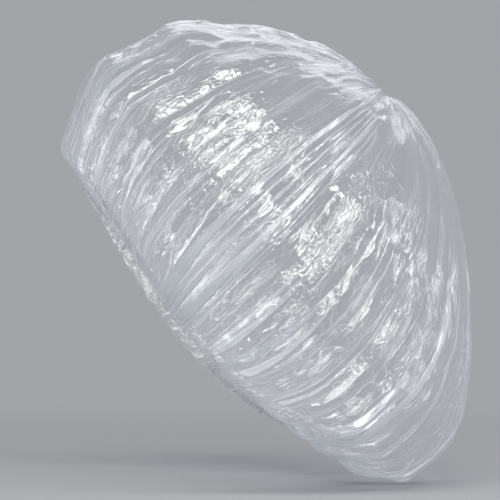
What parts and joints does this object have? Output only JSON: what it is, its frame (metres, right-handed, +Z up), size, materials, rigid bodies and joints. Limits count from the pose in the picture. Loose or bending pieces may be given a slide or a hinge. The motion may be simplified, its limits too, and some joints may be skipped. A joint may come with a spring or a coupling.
{
  "type": "shower cap",
  "caption": "Clear film shower cap, its crown gathered into a folded hem with an elastic loop inside, worn over the hair to keep it dry.",
  "frame": {"origin": "centre of the opening, level with the hem's lower edge at the brow and at the nape, where the wearer's head goes in", "axes": "+Z up as worn, the wearer faces -Y, +X is the wearer's left; the line from brow to nape leans back 45.9 degrees from level, and the hem drops about 20 mm below it over the ears"},
  "size_m": [0.238, 0.2262, 0.2606],
  "materials": {
    "clear_film": "thin clear polythene film, glossy and crumpled, faintly hazy along its folds",
    "sealed_hem": "clear film folded over and sealed, whiter where its gathers lie over each other",
    "elastic": "white knitted elastic, matt",
    "elastic_weld": "elastic pressed and welded, slightly glossy"
  },
  "bodies": {
    "cap": {"film_crown": "clear_film", "hem_left": "sealed_hem", "hem_rear": "sealed_hem", "hem_right": "sealed_hem", "elastic_band": "elastic", "elastic_join": "elastic_weld"},
    "front_hem": {"hem_front": "sealed_hem"}
  },
  "joints": [
    {"name": "front_hem_stretch", "type": "slide", "parent": "cap", "child": "front_hem", "axis": [0, -0.6959, 0.7181], "range_m": [0, 0.045], "stiffness_N_per_m": 12, "deforming": ["elastic_band"]}
  ]
}
